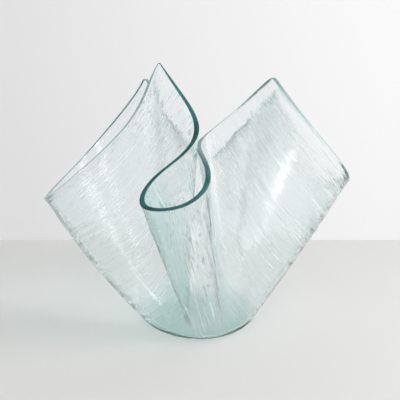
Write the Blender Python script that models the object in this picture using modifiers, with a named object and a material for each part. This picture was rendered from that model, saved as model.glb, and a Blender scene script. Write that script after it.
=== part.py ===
"""Handkerchief vase: one square sheet of rolled glass, slumped into folds over a round foot.

The sheet keeps its own lengths. A line drawn on the flat sheet from the foot out to the cut
edge becomes one line up the wall, so a fold that leans far out stands lower than one that
leans less, and the sheet's four corners rise highest.

Metres, +Z up. The origin is the middle of the foot, on the surface that the vase stands on.
"""
import math

import bmesh
import bpy
import numpy as np

# Driving sizes, in metres
SHEET_SIDE = 0.300
GLASS_THICKNESS = 0.0032
FOOT_RADIUS = 0.0345
FOOT_BEND = 0.006
CORNER_RADIUS = 0.0025
EDGE_ROUNDING = 0.0006

# The sheet's turn about the foot, in degrees, from square to the front
SHEET_TURN = 12.0

# How far a wall line bellies out below the rim, as a share of its rise and its run. The walls
# on the left belly most, by this much more than the mean, and those on the right least.
WALL_BOW = 0.10
LEFT_BOW_EXCESS = 0.04

# The folded cut edge, drawn in plan on a sheet of this side. Each row holds the distance along
# the edge from the front left corner, then plan x and y, in millimetres. The front fold closes
# to a loop behind a narrow neck, so it has twice as many points as the open folds.
FOLDS_DRAWN_ON_SIDE = 300.0
FRONT_FOLD = (
    (0, -26, 0),
    (25, -12, -9),
    (50, -2, -27),
    (75, -12, -40),
    (100, -29, -51),
    (125, -33, -69),
    (150, -12, -76),
    (175, 4, -60),
    (200, 3, -30),
    (225, 0, -3),
    (250, 14, 6),
    (275, 31, 1),
)
RIGHT_FOLD = (
    (300, 46, -15),
    (350, 74, -30),
    (400, 97, -8),
    (450, 98, 38),
    (500, 88, 84),
    (550, 70, 107),
)
BACK_FOLD = (
    (600, 60, 95),
    (650, 44, 62),
    (700, 26, 80),
    (750, 8, 102),
    (800, -10, 76),
    (850, -25, 55),
)
LEFT_FOLD = (
    (900, -40, 82),
    (950, -70, 88),
    (1000, -96, 62),
    (1050, -106, 16),
    (1100, -85, -18),
    (1150, -46, -15),
)

# The straight reach of the wall lines, as a share of their length on the flat sheet. Each row
# is a side, from the front round by the right: its first corner, the way to its fold, the
# fold's crest, and the way to its last corner. The longest corner stretched as it hung.
REACH_SHARES = (
    (1.02, 0.95, 0.99, 0.98),
    (0.97, 1.00, 0.98, 0.96),
    (0.95, 0.98, 0.99, 0.97),
    (0.95, 1.00, 0.98, 0.96),
)

# Fineness of the mesh. The rings crowd toward the foot by this power, as the walls turn most
# just above it.
RAYS_PER_SIDE = 34
RAYS_PER_CORNER = 2
WALL_RINGS = 10
BEND_RINGS = 3
RING_CROWDING = 1.7

GLASS_COLOUR = (0.72, 0.86, 0.84, 1.0)
GLASS_ROUGHNESS = 0.03
GLASS_IOR = 1.52

SIDES = 4
QUARTER_TURN = math.pi / 2
EIGHTH_TURN = math.pi / 4


def closed_spline(knots, values, period):
    """Smooth closed curve through the values at the knots, as a function of distance."""
    count = len(knots)
    gap = np.diff(np.append(knots, knots[0] + period))
    next_value = np.roll(values, -1)
    slope = (next_value - values) / gap
    system = np.zeros((count, count))
    for i in range(count):
        system[i, i - 1] += gap[i - 1]
        system[i, i] += 2 * (gap[i - 1] + gap[i])
        system[i, (i + 1) % count] += gap[i]
    bend = np.linalg.solve(system, 6 * (slope - np.roll(slope, 1)))
    next_bend = np.roll(bend, -1)

    def curve(distance):
        place = distance % period
        i = int(np.searchsorted(knots, place, side="right")) - 1
        ahead = (place - knots[i]) / gap[i]
        behind = 1 - ahead
        straight = behind * values[i] + ahead * next_value[i]
        curved = (behind**3 - behind) * bend[i] + (ahead**3 - ahead) * next_bend[i]
        return straight + curved * gap[i] ** 2 / 6

    return curve


def foot_point(heading):
    """Plan point of the foot circle that lies this way from the middle of the flat sheet."""
    turned = heading + math.radians(SHEET_TURN)
    return FOOT_RADIUS * np.array((math.cos(turned), math.sin(turned)))


def flat_length(across):
    """Distance on the flat sheet from the foot circle to the edge, where across runs from -1
    at a side's first corner to 1 at its last."""
    return SHEET_SIDE / 2 * math.hypot(1, across) - FOOT_RADIUS


def folded_edge():
    """Lean in x, lean in y and reach share of the wall lines, each as a function of distance
    along the edge. A lean is the plan run of a wall line as a share of its reach."""
    whole_edge = SIDES * SHEET_SIDE
    reach = np.ravel(REACH_SHARES)
    reach_share = closed_spline(np.arange(reach.size) * whole_edge / reach.size, reach, whole_edge)

    drawn = np.array(FRONT_FOLD + RIGHT_FOLD + BACK_FOLD + LEFT_FOLD, float)
    drawn *= SHEET_SIDE / FOLDS_DRAWN_ON_SIDE
    leans = []
    for along, *plan in drawn:
        side, within = divmod(along, SHEET_SIDE)
        across = 2 * within / SHEET_SIDE - 1
        run = plan - foot_point((side - 1) * QUARTER_TURN + math.atan(across))
        leans.append(run / (reach_share(along) * flat_length(across)))
    lean_x, lean_y = (closed_spline(drawn[:, 0], lean, whole_edge) for lean in np.array(leans).T)
    return lean_x, lean_y, reach_share


def flat_outline():
    """Points of the flat sheet's cut edge, anticlockwise from its front left corner."""
    half = SHEET_SIDE / 2
    inner = half - CORNER_RADIUS
    side = [(u, -half) for u in np.linspace(-inner, inner, RAYS_PER_SIDE)]
    for step in range(1, RAYS_PER_CORNER):
        around = step / RAYS_PER_CORNER * QUARTER_TURN
        bulge = CORNER_RADIUS * math.sin(around), CORNER_RADIUS * math.cos(around)
        side.append((inner + bulge[0], -inner - bulge[1]))
    outline = []
    for quarter in range(SIDES):
        cos, sin = math.cos(quarter * QUARTER_TURN), math.sin(quarter * QUARTER_TURN)
        outline += [(cos * u - sin * v, sin * u + cos * v) for u, v in side]
    return outline


def wall_line(flat_point, lean_x, lean_y, reach_share):
    """Wall line through a point of the flat cut edge: its places by share of the full line,
    the share at which the rounded corners cut it off, and the share that the foot's bend takes."""
    heading = math.atan2(flat_point[1], flat_point[0])
    quarter, within = divmod(heading + 3 * EIGHTH_TURN, QUARTER_TURN)
    across = math.tan(within - EIGHTH_TURN)
    along = (quarter + 0.5 + across / 2) * SHEET_SIDE
    full_length = flat_length(across)
    cut_share = (math.hypot(*flat_point) - FOOT_RADIUS) / full_length

    foot = foot_point(heading)
    lean = np.array((lean_x(along), lean_y(along)))
    reach = reach_share(along) * full_length
    run = reach * lean
    rise = reach * math.sqrt(1 - lean @ lean)
    belly = WALL_BOW - LEFT_BOW_EXCESS * foot[0] / FOOT_RADIUS

    def place(share):
        bow = belly * share * (1 - share)
        return np.append(foot + run * (share + bow), rise * (share - bow))

    return place, cut_share, FOOT_BEND / full_length


def sheet_sections():
    """Rings of points on the middle of the glass, from the flat of the foot to the cut edge."""
    edge = folded_edge()
    lines = [wall_line(point, *edge) for point in flat_outline()]
    rings = []
    for step in range(BEND_RINGS + 1):
        t = step / BEND_RINGS
        ring = []
        for place, _, bend_share in lines:
            corner = place(0)
            start = corner * (1 - FOOT_BEND / FOOT_RADIUS)
            end = place(bend_share)
            ring.append((1 - t) ** 2 * start + 2 * t * (1 - t) * corner + t * t * end)
        rings.append(ring)
    for step in range(1, WALL_RINGS + 1):
        t = (step / WALL_RINGS) ** RING_CROWDING
        rings.append([place(low + (high - low) * t) for place, high, low in lines])
    return rings


def make_sheet_mesh():
    """Open surface at the middle of the glass: the foot's flat, and the walls lofted from it."""
    lift = np.array((0, 0, GLASS_THICKNESS / 2))
    mesh = bpy.data.meshes.new("glass_vase")
    build = bmesh.new()
    rings = [[build.verts.new(point + lift) for point in ring] for ring in sheet_sections()]
    build.faces.new(reversed(rings[0]))
    for lower, upper in zip(rings, rings[1:]):
        for i in range(len(lower)):
            after = (i + 1) % len(lower)
            build.faces.new((lower[i], lower[after], upper[after], upper[i]))
    for face in build.faces:
        face.smooth = True
    rounding = build.edges.layers.float.new("bevel_weight_edge")
    for edge in build.edges:
        edge[rounding] = float(edge.is_boundary)
    build.to_mesh(mesh)
    build.free()
    return mesh


def make_glass():
    """Clear pale aqua glass."""
    glass = bpy.data.materials.new("aqua_glass")
    glass.use_nodes = True
    shader = glass.node_tree.nodes["Principled BSDF"]
    shader.inputs["Base Color"].default_value = GLASS_COLOUR
    shader.inputs["Roughness"].default_value = GLASS_ROUGHNESS
    shader.inputs["Metallic"].default_value = 0.0
    shader.inputs["IOR"].default_value = GLASS_IOR
    shader.inputs["Transmission Weight"].default_value = 1.0
    return glass


def make_vase(collection):
    """The one solid: the surface given its thickness, with its cut edges rounded."""
    vase = bpy.data.objects.new("glass_vase", make_sheet_mesh())
    collection.objects.link(vase)
    vase.data.materials.append(make_glass())

    thickness = vase.modifiers.new("Glass thickness", "SOLIDIFY")
    thickness.thickness = GLASS_THICKNESS
    thickness.offset = 0.0
    thickness.use_even_offset = True

    edges = vase.modifiers.new("Rounded cut edge", "BEVEL")
    edges.width = EDGE_ROUNDING
    edges.segments = 1
    edges.limit_method = "WEIGHT"
    return vase


def main():
    for old in list(bpy.data.objects):
        bpy.data.objects.remove(old, do_unlink=True)
    parts = bpy.data.collections.new("handkerchief_vase")
    bpy.context.scene.collection.children.link(parts)
    make_vase(parts)


main()
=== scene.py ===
"""Handkerchief vase: the sheet of streaked rolled glass, on a pale table before a pale wall.

The glass follows the same sizes and the same rule as the solid: a straight line on the flat
square sheet, from the round foot out to the cut edge, becomes one line up the wall.
"""
import math

import bpy
import numpy as np
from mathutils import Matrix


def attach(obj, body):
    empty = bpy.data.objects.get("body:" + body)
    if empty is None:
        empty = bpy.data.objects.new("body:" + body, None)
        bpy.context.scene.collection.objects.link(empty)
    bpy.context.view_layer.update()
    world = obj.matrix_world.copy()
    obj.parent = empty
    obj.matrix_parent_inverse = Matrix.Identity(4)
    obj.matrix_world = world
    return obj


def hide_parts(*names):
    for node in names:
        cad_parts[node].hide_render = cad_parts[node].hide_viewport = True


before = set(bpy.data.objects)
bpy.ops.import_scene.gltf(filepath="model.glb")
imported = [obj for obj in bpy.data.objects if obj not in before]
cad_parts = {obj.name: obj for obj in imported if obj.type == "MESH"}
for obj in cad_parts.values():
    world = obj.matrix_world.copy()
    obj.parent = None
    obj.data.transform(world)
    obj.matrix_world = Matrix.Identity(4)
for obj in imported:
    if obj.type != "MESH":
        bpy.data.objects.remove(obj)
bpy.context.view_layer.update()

# The sheet's sizes, in metres, and its turn about the foot
SHEET_SIDE = 0.300
GLASS_THICKNESS = 0.0032
FOOT_RADIUS = 0.0345
FOOT_BEND = 0.006
CORNER_RADIUS = 0.0025
SHEET_TURN = 12.0
WALL_BOW = 0.10
LEFT_BOW_EXCESS = 0.04

# The folded cut edge in plan: distance along it from the front left corner, then x and y, in
# millimetres on a sheet of this side
FOLDS_DRAWN_ON_SIDE = 300.0
FRONT_FOLD = (
    (0, -26, 0),
    (25, -12, -9),
    (50, -2, -27),
    (75, -12, -40),
    (100, -29, -51),
    (125, -33, -69),
    (150, -12, -76),
    (175, 4, -60),
    (200, 3, -30),
    (225, 0, -3),
    (250, 14, 6),
    (275, 31, 1),
)
RIGHT_FOLD = (
    (300, 46, -15),
    (350, 74, -30),
    (400, 97, -8),
    (450, 98, 38),
    (500, 88, 84),
    (550, 70, 107),
)
BACK_FOLD = (
    (600, 60, 95),
    (650, 44, 62),
    (700, 26, 80),
    (750, 8, 102),
    (800, -10, 76),
    (850, -25, 55),
)
LEFT_FOLD = (
    (900, -40, 82),
    (950, -70, 88),
    (1000, -96, 62),
    (1050, -106, 16),
    (1100, -85, -18),
    (1150, -46, -15),
)

# The straight reach of the wall lines, a row for each side: first corner, way to the fold,
# crest, way to the last corner
REACH_SHARES = (
    (1.02, 0.95, 0.99, 0.98),
    (0.97, 1.00, 0.98, 0.96),
    (0.95, 0.98, 0.99, 0.97),
    (0.95, 1.00, 0.98, 0.96),
)

SIDES = 4
QUARTER_TURN = math.pi / 2
EIGHTH_TURN = math.pi / 4

# Spacing of the mesh on the flat sheet: fine across the streaks, coarser along them, and closer
# where the foot bends up. Each rounded corner has a few lines of its own, and slopes are taken
# over a short step to both sides.
ACROSS_STREAKS = 0.0008
ALONG_STREAKS = 0.0033
ALONG_AT_FOOT = 0.0016
FOOT_ZONE = (0.024, 0.044)
CORNER_LINES = 3
SLOPE_STEP = 0.0002

# The faces lie this far inside the solid's, so that the ridges stay within its size
SET_BACK = 0.0001

# The fire-polished cut edge: how deep its half round reaches into the sheet, how far it swells
# on the inside, the flat faces across it, and how many of the outermost are the tinted core
BEAD_DEPTH = 0.0008
BEAD_SWELL = 0.0006
BEAD_STEPS = 8
CORE_STEPS = 6

# Relief of the rolled face: each layer's width across the streaks, its length along them and
# its depth, in metres, and a seed. It fades out over a short way before the cut edge and is
# fainter on the inner face. The streaks wander sideways, over a wider and longer noise.
RELIEF_LAYERS = (
    (0.0022, 0.022, 0.00024, 11),
    (0.0045, 0.040, 0.00022, 12),
    (0.0140, 0.070, 0.00034, 13),
)
RELIEF_FADE = 0.004
INNER_RELIEF_SHARE = 0.25
STREAK_WANDER = 0.003
WANDER_SIZE = (0.040, 0.060, 14)

# Half the glass between the visual faces, and half of a side's straight part
HALF_GLASS = GLASS_THICKNESS / 2 - SET_BACK
HALF_STRAIGHT = SHEET_SIDE / 2 - CORNER_RADIUS

# Shares that come in or go out as a value crosses a span
FADE_IN = (0.0, 1.0)
FADE_OUT = (1.0, 0.0)

# Glass throughout: its colour in depth, and the pale shadow that it casts
WHITE = (1.0, 1.0, 1.0, 1.0)
GLASS_IOR = 1.52
ABSORPTION_COLOUR = (0.20, 0.73, 0.70, 1.0)
ABSORPTION_DENSITY = 12.0
SHADOW_COLOUR = (0.87, 0.89, 0.885, 1.0)

# Streaks of the glass, each by its width and its length in metres. Pale ridges and dashes come
# in over a span of their noise. The fine streaks also carry the roughness and the bump.
BROAD_STREAK = (0.0030, 0.080)
AQUA_STREAK_COLOUR = (0.955, 0.985, 0.985, 1.0)
FINE_STREAK = (0.0009, 0.028)
FINE_STREAK_DEPTH = 0.00014
SMOOTH_AND_ROUGH = (0.02, 0.09)
PALE_RIDGE = (0.0011, 0.060)
PALE_RIDGE_SHARE = (0.58, 0.70)
PALE_RIDGE_HAZE = 0.35
STREAK_DETAIL = 2.0
DASH = (0.0007, 0.0070)
DASH_SHARE = (0.66, 0.72)
DASH_COLOUR = (0.40, 0.58, 0.58, 1.0)
DASH_PATCH = (0.030, 0.040)
DASH_DETAIL = 1.0

# Places on the sheet, where 0 to 1 runs from left to right and from front to back: the middle,
# where dashes end beside the neck and behind the front, and the front fold's left flank with
# its half width and its far end
SHEET_MIDDLE = (0.5, 0.5, 0.0)
DASHES_ALONG_FRONT = (0.62, 0.75)
DASHES_BEHIND_FRONT = (0.20, 0.35)
FOLD_FLANK = 0.38
FOLD_FLANK_SPAN = (0.03, 0.08)
FOLD_FLANK_END = (0.28, 0.42)

# Deeper tints: painted shade on the fold's flank and within this distance of the foot's middle,
# and a deeper aqua over this span of glancing angles, from 0 for face on to 1 for edge on
FOLD_SHADE_COLOUR = (0.80, 0.92, 0.905, 1.0)
FOOT_SHADE_COLOUR = (0.75, 0.85, 0.84, 1.0)
FOOT_SHADE_RADIUS = (0.036, 0.050)
GLANCING_COLOUR = (0.34, 0.68, 0.64, 1.0)
GLANCING_SHARE = (0.70, 0.98)
GLANCING_HAZE = 0.6

# Cut edge: mottled deep teal along the front as far as the neck, and paler and clearer beyond.
# Its spans are places on the sheet too.
EDGE_DARK = (0.003, 0.055, 0.055, 1.0)
EDGE_PALE = (0.020, 0.160, 0.155, 1.0)
THIN_EDGE_COLOUR = (0.34, 0.54, 0.53, 1.0)
FRONT_EDGE_DEPTH = (0.0, 0.02)
FRONT_EDGE_END = (0.64, 0.76)
EDGE_MOTTLE = 60.0
EDGE_DETAIL = 3.0
EDGE_ROUGHNESS = (0.10, 0.25)
DEEP_AND_THIN_TRANSMISSION = (0.15, 0.5)
EDGE_SHINE = 0.2

# Camera, with its focal length in pixels of a frame this wide
CAMERA_PLACE = (0.0002, -0.5563, 0.2514)
CAMERA_PITCH = 16.4
FOCAL_PIXELS = 866.0
FRAME_PIXELS = 400.0
SENSOR_WIDTH = 36.0
CLIP_START = 0.01

# Table, and the wall some way behind its back edge. The wall's painted light grows from left
# to right over its span, for what the camera and the glass see.
MATTE_ROUGHNESS = 0.9
MATTE_SHINE = 0.2
TABLE_FRONT = -1.5
TABLE_BACK = 0.172
WALL_DISTANCE = 1.3
STAGE_WIDTH = 4.0
WALL_BOTTOM = -1.0
WALL_TOP = 2.0
TABLE_COLOUR = (0.70, 0.695, 0.685, 1.0)
WALL_COLOUR = (0.93, 0.93, 0.94, 1.0)
WALL_PAINTED_LIGHT_SPAN = (-0.4, 0.4)
WALL_PAINTED_LIGHT = (0.03, 0.19)

# Three windows, as place, size and power: the main one on the right, a low one at the front
# right and a small skylight over the front. The room's light falls off from right to left, and
# the glass shows its pale walls.
LIGHT_AIM = (0.0, 0.0, 0.08)
SIDE_WINDOW = ((0.95, -0.25, 0.75), (0.5, 0.45), 8.5)
FRONT_WINDOW = ((0.90, -0.80, 0.42), (0.35, 0.30), 1.0)
SKYLIGHT = ((0.0, -0.90, 1.00), (0.25, 0.12), 1.0)
LEFT_TO_RIGHT = (-1.0, 1.0)
ROOM_LEFT = 0.43
ROOM_RIGHT = 0.87
ROOM_IN_GLASS = 0.90

# The middle of a noise's range, where most of it lies
NOISE_RANGE = (0.3, 0.7)


def closed_spline(knots, values, period):
    """Smooth closed curve through the values at the knots, as a function of distance."""
    count = len(knots)
    gap = np.diff(np.append(knots, knots[0] + period))
    next_value = np.roll(values, -1)
    slope = (next_value - values) / gap
    system = np.zeros((count, count))
    for i in range(count):
        system[i, i - 1] += gap[i - 1]
        system[i, i] += 2 * (gap[i - 1] + gap[i])
        system[i, (i + 1) % count] += gap[i]
    bend = np.linalg.solve(system, 6 * (slope - np.roll(slope, 1)))
    next_bend = np.roll(bend, -1)

    def curve(distance):
        place = np.mod(distance, period)
        i = np.searchsorted(knots, place, side="right") - 1
        ahead = (place - knots[i]) / gap[i]
        behind = 1 - ahead
        straight = behind * values[i] + ahead * next_value[i]
        curved = (behind**3 - behind) * bend[i] + (ahead**3 - ahead) * next_bend[i]
        return straight + curved * gap[i] ** 2 / 6

    return curve


def spoke(heading):
    """Unit plan vectors that point this way from the middle of the flat sheet."""
    turned = heading + math.radians(SHEET_TURN)
    return np.stack((np.cos(turned), np.sin(turned)), -1)


def flat_length(across):
    """Distance on the flat sheet from the foot circle to the edge, where across runs from -1
    at a side's first corner to 1 at its last."""
    return SHEET_SIDE / 2 * np.hypot(1, across) - FOOT_RADIUS


def folded_edge():
    """Lean in x, lean in y and reach share of the wall lines, as functions of distance along
    the edge."""
    whole_edge = SIDES * SHEET_SIDE
    reach = np.ravel(REACH_SHARES)
    reach_share = closed_spline(np.arange(reach.size) * whole_edge / reach.size, reach, whole_edge)

    drawn = np.array(FRONT_FOLD + RIGHT_FOLD + BACK_FOLD + LEFT_FOLD, float)
    drawn *= SHEET_SIDE / FOLDS_DRAWN_ON_SIDE
    along, plan = drawn[:, 0], drawn[:, 1:]
    side, within = np.divmod(along, SHEET_SIDE)
    across = 2 * within / SHEET_SIDE - 1
    run = plan - FOOT_RADIUS * spoke((side - 1) * QUARTER_TURN + np.arctan(across))
    lean = run / (reach_share(along) * flat_length(across))[:, None]
    return (
        closed_spline(along, lean[:, 0], whole_edge),
        closed_spline(along, lean[:, 1], whole_edge),
        reach_share,
    )


def fold(u, v, edge):
    """Places on the middle of the folded glass for points of the flat sheet."""
    lean_x, lean_y, reach_share = edge
    heading = np.arctan2(v, u)
    beyond_foot = np.hypot(u, v) - FOOT_RADIUS
    quarter, within = np.divmod(heading + 3 * EIGHTH_TURN, QUARTER_TURN)
    across = np.tan(within - EIGHTH_TURN)
    along = (quarter + 0.5 + across / 2) * SHEET_SIDE
    full_length = flat_length(across)

    out = spoke(heading)
    foot = FOOT_RADIUS * out
    lean = np.stack((lean_x(along), lean_y(along)), -1)
    reach = reach_share(along) * full_length
    run = reach[:, None] * lean
    rise = reach * np.sqrt(1 - (lean**2).sum(-1))
    belly = WALL_BOW - LEFT_BOW_EXCESS * out[:, 0]

    def wall(share):
        bow = belly * share * (1 - share)
        return np.column_stack((foot + run * (share + bow)[:, None], rise * (share - bow)))

    def level(plan):
        return np.column_stack((plan, np.zeros(len(plan))))

    turn = np.clip((beyond_foot + FOOT_BEND) / (2 * FOOT_BEND), 0, 1)[:, None]
    bend = (
        (1 - turn) ** 2 * level(foot * (1 - FOOT_BEND / FOOT_RADIUS))
        + 2 * turn * (1 - turn) * level(foot)
        + turn**2 * wall(FOOT_BEND / full_length)
    )
    flat = level(out * np.hypot(u, v)[:, None])
    on_wall = (beyond_foot > FOOT_BEND)[:, None]
    on_flat = (beyond_foot < -FOOT_BEND)[:, None]
    places = np.where(on_wall, wall(beyond_foot / full_length), np.where(on_flat, flat, bend))
    places[:, 2] += GLASS_THICKNESS / 2
    return places


def toward_inside(u, v, edge):
    """Unit normals of the folded sheet, on the side that faces into the vase."""
    step = SLOPE_STEP
    du = fold(u + step, v, edge) - fold(u - step, v, edge)
    dv = fold(u, v + step, edge) - fold(u, v - step, edge)
    normal = np.cross(du, dv)
    return normal / np.linalg.norm(normal, axis=1, keepdims=True)


def lattice_noise(x, y, seed):
    """Smooth noise from 0 to 1 over seeded random numbers at whole x and y."""
    x, y = x - x.min(), y - y.min()
    column, row = x.astype(int), y.astype(int)
    heights = np.random.default_rng(seed).random((column.max() + 2, row.max() + 2))
    s, t = x - column, y - row
    s, t = s * s * (3 - 2 * s), t * t * (3 - 2 * t)
    near = heights[column, row] * (1 - s) + heights[column + 1, row] * s
    far = heights[column, row + 1] * (1 - s) + heights[column + 1, row + 1] * s
    return near * (1 - t) + far * t


def relief(u, v):
    """Depth of the rolled streaks below the full thickness, in metres."""
    wide, long, seed = WANDER_SIZE
    wandering = u + STREAK_WANDER * lattice_noise(u / wide, v / long, seed)
    depth = np.zeros(len(u))
    for width, length, deepest, layer_seed in RELIEF_LAYERS:
        depth += deepest * lattice_noise(wandering / width, v / length, layer_seed)
    from_edge = SHEET_SIDE / 2 - np.maximum(np.abs(u), np.abs(v))
    return depth * np.clip((from_edge - BEAD_DEPTH) / RELIEF_FADE, 0, 1)


def flat_lines():
    """The mesh's lines on the flat sheet, across the streaks and along them, out to where the
    cut edge starts to round off. The last lines at each end carry the sheet's rounded corners."""
    end = SHEET_SIDE / 2 - BEAD_DEPTH
    corner = np.linspace(HALF_STRAIGHT, end, CORNER_LINES)[1:]
    line_count = round(2 * HALF_STRAIGHT / ACROSS_STREAKS)
    across = np.linspace(-HALF_STRAIGHT, HALF_STRAIGHT, line_count)
    near, far = FOOT_ZONE
    spans = (
        (0, near, ALONG_STREAKS),
        (near, far, ALONG_AT_FOOT),
        (far, HALF_STRAIGHT, ALONG_STREAKS),
    )
    ahead = [np.linspace(a, b, round((b - a) / step), endpoint=False) for a, b, step in spans]
    ahead = np.append(np.concatenate(ahead), HALF_STRAIGHT)
    along = np.append(-ahead[:0:-1], ahead)
    return [np.concatenate((-corner[::-1], lines, corner)) for lines in (across, along)]


def round_corners(u, v):
    """Moves the points of the grid's four corner squares onto quarter discs."""
    radius = CORNER_RADIUS - BEAD_DEPTH
    a = np.maximum(np.abs(u) - HALF_STRAIGHT, 0) / radius
    b = np.maximum(np.abs(v) - HALF_STRAIGHT, 0) / radius
    round_u = HALF_STRAIGHT + radius * a * np.sqrt(1 - b * b / 2)
    round_v = HALF_STRAIGHT + radius * b * np.sqrt(1 - a * a / 2)
    return np.where(a > 0, np.sign(u) * round_u, u), np.where(b > 0, np.sign(v) * round_v, v)


def bead(u, v, edge):
    """The half round of the cut edge beyond the grid's border, as rings of places and of flat
    points, from the outer face round to the inner."""
    border = np.column_stack((u, v))
    outward = border - np.clip(border, -HALF_STRAIGHT, HALF_STRAIGHT)
    outward /= np.linalg.norm(outward, axis=1, keepdims=True)
    places, flats = [], []
    for step in range(1, BEAD_STEPS):
        around = step / BEAD_STEPS * math.pi
        flat = border + outward * BEAD_DEPTH * math.sin(around)
        off_middle = BEAD_SWELL * max(0, -math.sin(2 * around)) - HALF_GLASS * math.cos(around)
        inward = toward_inside(flat[:, 0], flat[:, 1], edge)
        places.append(fold(flat[:, 0], flat[:, 1], edge) + inward * off_middle)
        flats.append(flat)
    return np.concatenate(places), np.concatenate(flats)


def make_vase(glass, cut_edge):
    """The folded sheet as one closed mesh: an outer face, an inner face and the cut edge."""
    u_lines, v_lines = flat_lines()
    columns, rows = len(u_lines), len(v_lines)
    u, v = (grid.ravel() for grid in np.meshgrid(u_lines, v_lines, indexing="ij"))
    u, v = round_corners(u, v)
    edge = folded_edge()
    middle = fold(u, v, edge)
    inward = toward_inside(u, v, edge)
    depth = relief(u, v)[:, None]
    outer = middle - inward * (HALF_GLASS - depth)
    inner = middle + inward * (HALF_GLASS - INNER_RELIEF_SHARE * depth)

    index = np.arange(columns * rows).reshape(columns, rows)
    quads = np.stack((index[:-1, :-1], index[1:, :-1], index[1:, 1:], index[:-1, 1:]), -1)
    quads = quads.reshape(-1, 4)
    rim = np.concatenate((index[:-1, 0], index[-1, :-1], index[:0:-1, -1], index[0, :0:-1]))
    side = columns * rows
    bead_places, bead_flats = bead(u[rim], v[rim], edge)
    rings = 2 * side + np.arange(len(bead_places)).reshape(-1, len(rim))
    rings = np.concatenate(([rim], rings, [rim + side]))
    next_in_ring = np.roll(rings, -1, axis=1)
    bands = np.stack((rings[:-1], next_in_ring[:-1], next_in_ring[1:], rings[1:]), -1)
    faces = np.concatenate((quads[:, ::-1], quads + side, bands.reshape(-1, 4)))

    mesh = bpy.data.meshes.new("vase_glass")
    mesh.from_pydata(np.concatenate((outer, inner, bead_places)), [], faces)
    mesh.shade_smooth()
    corner = np.empty(len(mesh.loops), int)
    mesh.loops.foreach_get("vertex_index", corner)
    sheet = np.column_stack((u, v))
    flat = np.concatenate((sheet, sheet, bead_flats)) / SHEET_SIDE + 0.5
    mesh.uv_layers.new(name="flat_sheet").data.foreach_set("uv", flat[corner].ravel())

    mesh.materials.append(glass)
    mesh.materials.append(cut_edge)
    band_core = np.abs(np.arange(BEAD_STEPS) - (BEAD_STEPS - 1) / 2) < CORE_STEPS / 2
    slots = np.concatenate((np.zeros(2 * len(quads), int), np.repeat(band_core, len(rim))))
    mesh.polygons.foreach_set("material_index", slots.astype(np.int32))

    vase = bpy.data.objects.new("vase_glass", mesh)
    bpy.context.scene.collection.objects.link(vase)
    return vase


class Nodes:
    """Short calls for the nodes of one material or of the world."""

    def __init__(self, owner):
        owner.use_nodes = True
        self.tree = owner.node_tree

    def put(self, socket, value):
        """Links another node's output to the socket, or sets its value."""
        if isinstance(value, bpy.types.NodeSocket):
            self.tree.links.new(value, socket)
        else:
            socket.default_value = value

    def fill(self, node, inputs):
        """Puts values into a node's inputs by name, with an underscore for each space."""
        for name, value in inputs.items():
            self.put(node.inputs[name.replace("_", " ")], value)
        return node

    def add(self, kind, **inputs):
        """A new node with these inputs."""
        return self.fill(self.tree.nodes.new(kind), inputs)

    def shade(self, **inputs):
        """Fills inputs of the material's own shader."""
        self.fill(self.tree.nodes["Principled BSDF"], inputs)

    def streaks(self, size, detail, place):
        """Noise drawn out along the streaks, from 0 to 1 about a half."""
        width, length = size
        scale = (SHEET_SIDE / width, SHEET_SIDE / length, 1)
        stretch = self.add("ShaderNodeMapping", Vector=place, Scale=scale)
        noise = self.add("ShaderNodeTexNoise", Vector=stretch.outputs[0], Scale=1.0, Detail=detail)
        return noise.outputs["Fac"]

    def ramp(self, value, span, numbers):
        """A number that goes from the first to the second as the value crosses the span."""
        ramp = self.add("ShaderNodeMapRange", Value=value, From_Min=span[0], From_Max=span[1])
        self.put(ramp.inputs["To Min"], numbers[0])
        self.put(ramp.inputs["To Max"], numbers[1])
        return ramp.outputs["Result"]

    def between(self, noise, low, high):
        """A number from low to high over the middle of a noise's range."""
        return self.ramp(noise, NOISE_RANGE, (low, high))

    def arithmetic(self, operation, first, second=0.0):
        """One step of arithmetic on one number or two."""
        step = self.tree.nodes.new("ShaderNodeMath")
        step.operation = operation
        self.put(step.inputs[0], first)
        self.put(step.inputs[1], second)
        return step.outputs["Value"]

    def distance(self, first, second):
        """How far apart two places are."""
        step = self.tree.nodes.new("ShaderNodeVectorMath")
        step.operation = "DISTANCE"
        self.put(step.inputs[0], first)
        self.put(step.inputs[1], second)
        return step.outputs["Value"]

    def axes(self, place):
        """The three numbers of a place, by the names X, Y and Z."""
        return self.add("ShaderNodeSeparateXYZ", Vector=place).outputs

    def blend(self, share, first, second):
        """A colour from the first to the second."""
        mix = self.tree.nodes.new("ShaderNodeMix")
        mix.data_type = "RGBA"
        from_colour, to_colour = (socket for socket in mix.inputs if socket.type == "RGBA")
        self.put(mix.inputs["Factor"], share)
        self.put(from_colour, first)
        self.put(to_colour, second)
        return next(socket for socket in mix.outputs if socket.type == "RGBA")

    def mix_shaders(self, share, first, second):
        """A shader from the first to the second."""
        mix = self.add("ShaderNodeMixShader")
        for socket, value in zip(mix.inputs, (share, first, second)):
            self.put(socket, value)
        return mix.outputs["Shader"]

    def let_lamps_through(self, colour):
        """Lamps shine through the glass, so that it casts a pale shadow."""
        from_lamp = self.add("ShaderNodeLightPath").outputs["Is Shadow Ray"]
        glass = self.tree.nodes["Principled BSDF"].outputs["BSDF"]
        through = self.add("ShaderNodeBsdfTransparent", Color=colour).outputs["BSDF"]
        surface = self.mix_shaders(from_lamp, glass, through)
        self.put(self.tree.nodes["Material Output"].inputs["Surface"], surface)


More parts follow.
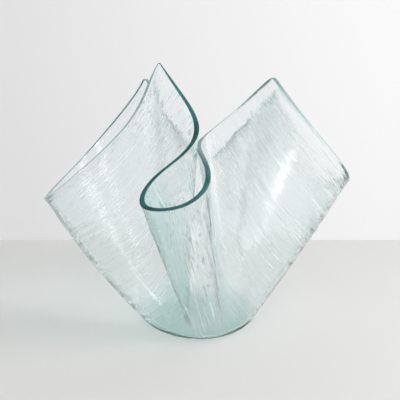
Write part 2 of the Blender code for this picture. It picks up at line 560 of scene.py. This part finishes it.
def dash_share(nodes, place):
    """Where the short dark dashes are: in patches beside the neck and near the front."""
    on_sheet = nodes.axes(place)
    beside_neck = nodes.ramp(on_sheet["X"], DASHES_ALONG_FRONT, FADE_OUT)
    near_front = nodes.ramp(on_sheet["Y"], DASHES_BEHIND_FRONT, FADE_OUT)
    region = nodes.arithmetic("MULTIPLY", beside_neck, near_front)
    patches = nodes.between(nodes.streaks(DASH_PATCH, DASH_DETAIL, place), *FADE_IN)
    patches = nodes.arithmetic("MULTIPLY", patches, region)
    dashes = nodes.ramp(nodes.streaks(DASH, DASH_DETAIL, place), DASH_SHARE, FADE_IN)
    return nodes.arithmetic("MULTIPLY", patches, dashes)


def sheet_tint_and_shade(nodes, place):
    """The glass's colour: its own broad streaks, and painted shade in deeper aqua at the foot
    and on the left flank of the front fold."""
    broad = nodes.between(nodes.streaks(BROAD_STREAK, STREAK_DETAIL, place), *FADE_IN)
    tint = nodes.blend(broad, AQUA_STREAK_COLOUR, WHITE)

    # Painted shade: deeper aqua at the foot's middle, for the stacked layers of glass there and
    # the shade under the foot
    foot_span = [radius / SHEET_SIDE for radius in FOOT_SHADE_RADIUS]
    shade_at_foot = nodes.ramp(nodes.distance(place, SHEET_MIDDLE), foot_span, FADE_OUT)
    tint = nodes.blend(shade_at_foot, tint, FOOT_SHADE_COLOUR)

    # Painted shade: deeper aqua on the left flank of the front fold, where the glass is seen
    # through at a long slant
    on_sheet = nodes.axes(place)
    off_flank = nodes.arithmetic("SUBTRACT", on_sheet["X"], FOLD_FLANK)
    off_flank = nodes.arithmetic("ABSOLUTE", off_flank)
    shade_on_flank = nodes.ramp(off_flank, FOLD_FLANK_SPAN, FADE_OUT)
    flank_height = nodes.ramp(on_sheet["Y"], FOLD_FLANK_END, FADE_OUT)
    shade_on_flank = nodes.arithmetic("MULTIPLY", shade_on_flank, flank_height)
    return nodes.blend(shade_on_flank, tint, FOLD_SHADE_COLOUR)


def make_glass():
    """Clear glass, streaked with finer and paler lines, with short dark dashes where the roll
    left a nick. It turns aqua with depth and where it is seen at a glancing angle, and it
    carries painted shade in deeper aqua at the foot and on the front fold's flank."""
    glass = bpy.data.materials.new("aqua_rolled_glass")
    nodes = Nodes(glass)
    place = nodes.add("ShaderNodeUVMap").outputs["UV"]
    fine = nodes.streaks(FINE_STREAK, STREAK_DETAIL, place)
    dashes = dash_share(nodes, place)

    facing = nodes.add("ShaderNodeLayerWeight").outputs["Facing"]
    glancing = nodes.ramp(facing, GLANCING_SHARE, FADE_IN)
    tint = nodes.blend(glancing, sheet_tint_and_shade(nodes, place), GLANCING_COLOUR)

    ridges = nodes.streaks(PALE_RIDGE, STREAK_DETAIL, place)
    clear = nodes.ramp(ridges, PALE_RIDGE_SHARE, (1.0, 1.0 - PALE_RIDGE_HAZE))
    clear_at_glance = nodes.ramp(glancing, FADE_IN, (1.0, 1.0 - GLANCING_HAZE))
    clear = nodes.arithmetic("MULTIPLY", clear, clear_at_glance)

    height = nodes.arithmetic("SUBTRACT", fine, dashes)
    bump = nodes.add("ShaderNodeBump", Strength=1.0, Distance=FINE_STREAK_DEPTH, Height=height)
    nodes.shade(
        Base_Color=nodes.blend(dashes, tint, DASH_COLOUR),
        Roughness=nodes.between(fine, *SMOOTH_AND_ROUGH),
        IOR=GLASS_IOR,
        Transmission_Weight=clear,
        Normal=bump.outputs["Normal"],
    )
    nodes.let_lamps_through(SHADOW_COLOUR)

    depth = nodes.add("ShaderNodeVolumeAbsorption")
    nodes.fill(depth, {"Color": ABSORPTION_COLOUR, "Density": ABSORPTION_DENSITY})
    nodes.put(nodes.tree.nodes["Material Output"].inputs["Volume"], depth.outputs["Volume"])
    return glass


def make_cut_edge():
    """The fire-polished cut edge: deep teal along the front, where the light of the whole
    sheet's depth comes out, and paler past the neck."""
    cut_edge = bpy.data.materials.new("aqua_cut_edge")
    nodes = Nodes(cut_edge)
    place = nodes.add("ShaderNodeTexCoord").outputs["Object"]
    mottle = nodes.add("ShaderNodeTexNoise", Vector=place, Scale=EDGE_MOTTLE, Detail=EDGE_DETAIL)
    deep = nodes.blend(nodes.between(mottle.outputs["Fac"], *FADE_IN), EDGE_DARK, EDGE_PALE)

    on_sheet = nodes.axes(nodes.add("ShaderNodeUVMap").outputs["UV"])
    off_front = nodes.ramp(on_sheet["Y"], FRONT_EDGE_DEPTH, FADE_IN)
    past_neck = nodes.ramp(on_sheet["X"], FRONT_EDGE_END, FADE_IN)
    thin = nodes.arithmetic("MAXIMUM", off_front, past_neck)
    nodes.shade(
        Base_Color=nodes.blend(thin, deep, THIN_EDGE_COLOUR),
        Roughness=nodes.between(mottle.outputs["Fac"], *EDGE_ROUGHNESS),
        IOR=GLASS_IOR,
        Specular_IOR_Level=EDGE_SHINE,
        Transmission_Weight=nodes.ramp(thin, FADE_IN, DEEP_AND_THIN_TRANSMISSION),
    )
    nodes.let_lamps_through(SHADOW_COLOUR)
    return cut_edge


def matte(name, colour):
    """A plain matte material."""
    material = bpy.data.materials.new(name)
    Nodes(material).shade(
        Base_Color=colour, Roughness=MATTE_ROUGHNESS, Specular_IOR_Level=MATTE_SHINE
    )
    return material


def make_wall_with_painted_light():
    """Pale paint, with painted light that makes it brighter on the right, as the camera and the
    glass see it.
    """
    paint = matte("wall", WALL_COLOUR)
    nodes = Nodes(paint)
    on_wall = nodes.axes(nodes.add("ShaderNodeTexCoord").outputs["Object"])
    # Painted light: the wall glows brighter towards the right, the side where the main window is
    painted_light = nodes.ramp(on_wall["X"], WALL_PAINTED_LIGHT_SPAN, WALL_PAINTED_LIGHT)
    rays = nodes.add("ShaderNodeLightPath").outputs
    seen = nodes.arithmetic("MAXIMUM", rays["Is Camera Ray"], rays["Is Glossy Ray"])
    seen = nodes.arithmetic("MAXIMUM", seen, rays["Is Transmission Ray"])
    painted_light = nodes.arithmetic("MULTIPLY", painted_light, seen)
    nodes.shade(Emission_Color=WALL_COLOUR, Emission_Strength=painted_light)
    return paint


def make_panel(name, corners, paint):
    """A flat panel of the stage through four corners."""
    mesh = bpy.data.meshes.new(name)
    mesh.from_pydata(corners, [], [(0, 1, 2, 3)])
    mesh.materials.append(paint)
    panel = bpy.data.objects.new(name, mesh)
    bpy.context.scene.collection.objects.link(panel)


def make_stage():
    """The table and the wall behind it."""
    half = STAGE_WIDTH / 2
    left, right = -half, half
    table = ((left, TABLE_FRONT), (right, TABLE_FRONT), (right, TABLE_BACK), (left, TABLE_BACK))
    make_panel("table", [(x, y, 0) for x, y in table], matte("table", TABLE_COLOUR))
    wall = ((left, WALL_BOTTOM), (right, WALL_BOTTOM), (right, WALL_TOP), (left, WALL_TOP))
    make_panel("wall", [(x, WALL_DISTANCE, z) for x, z in wall], make_wall_with_painted_light())


def make_window(name, place, size, power):
    """An area lamp that faces the vase."""
    window = bpy.data.lights.new(name, "AREA")
    window.shape = "RECTANGLE"
    window.size, window.size_y = size
    window.energy = power
    lamp = bpy.data.objects.new(name, window)
    lamp.location = place
    toward = np.subtract(LIGHT_AIM, place)
    aim = math.atan2(toward[1], toward[0]) - QUARTER_TURN
    tilt = math.acos(-toward[2] / np.linalg.norm(toward))
    lamp.rotation_euler = (tilt, 0, aim)
    bpy.context.scene.collection.objects.link(lamp)


def make_light():
    """Daylight from the windows, in a pale room that is dimmer on the left."""
    make_window("side_window", *SIDE_WINDOW)
    make_window("front_window", *FRONT_WINDOW)
    make_window("skylight", *SKYLIGHT)
    room = bpy.data.worlds.new("room")
    nodes = Nodes(room)
    direction = nodes.axes(nodes.add("ShaderNodeTexCoord").outputs["Generated"])
    strength = nodes.ramp(direction["X"], LEFT_TO_RIGHT, (ROOM_LEFT, ROOM_RIGHT))
    lit_room = nodes.fill(nodes.tree.nodes["Background"], {"Color": WHITE, "Strength": strength})
    seen_room = nodes.add("ShaderNodeBackground", Color=WHITE, Strength=ROOM_IN_GLASS)
    rays = nodes.add("ShaderNodeLightPath").outputs
    in_glass = nodes.arithmetic("MAXIMUM", rays["Is Glossy Ray"], rays["Is Transmission Ray"])
    surface = nodes.mix_shaders(in_glass, lit_room.outputs[0], seen_room.outputs[0])
    nodes.put(nodes.tree.nodes["World Output"].inputs["Surface"], surface)
    bpy.context.scene.world = room


def make_camera():
    """The camera at the photograph's place and angle."""
    lens = bpy.data.cameras.new("camera")
    lens.sensor_width = SENSOR_WIDTH
    lens.lens = SENSOR_WIDTH * FOCAL_PIXELS / FRAME_PIXELS
    lens.clip_start = CLIP_START
    camera = bpy.data.objects.new("camera", lens)
    camera.location = CAMERA_PLACE
    camera.rotation_euler = (math.radians(90 - CAMERA_PITCH), 0, 0)
    bpy.context.scene.collection.objects.link(camera)
    bpy.context.scene.camera = camera


def main():
    bpy.context.scene.view_settings.view_transform = "Standard"
    make_camera()
    make_stage()
    make_light()
    vase = make_vase(make_glass(), make_cut_edge())
    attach(vase, "root")
    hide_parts("glass_vase")


main()
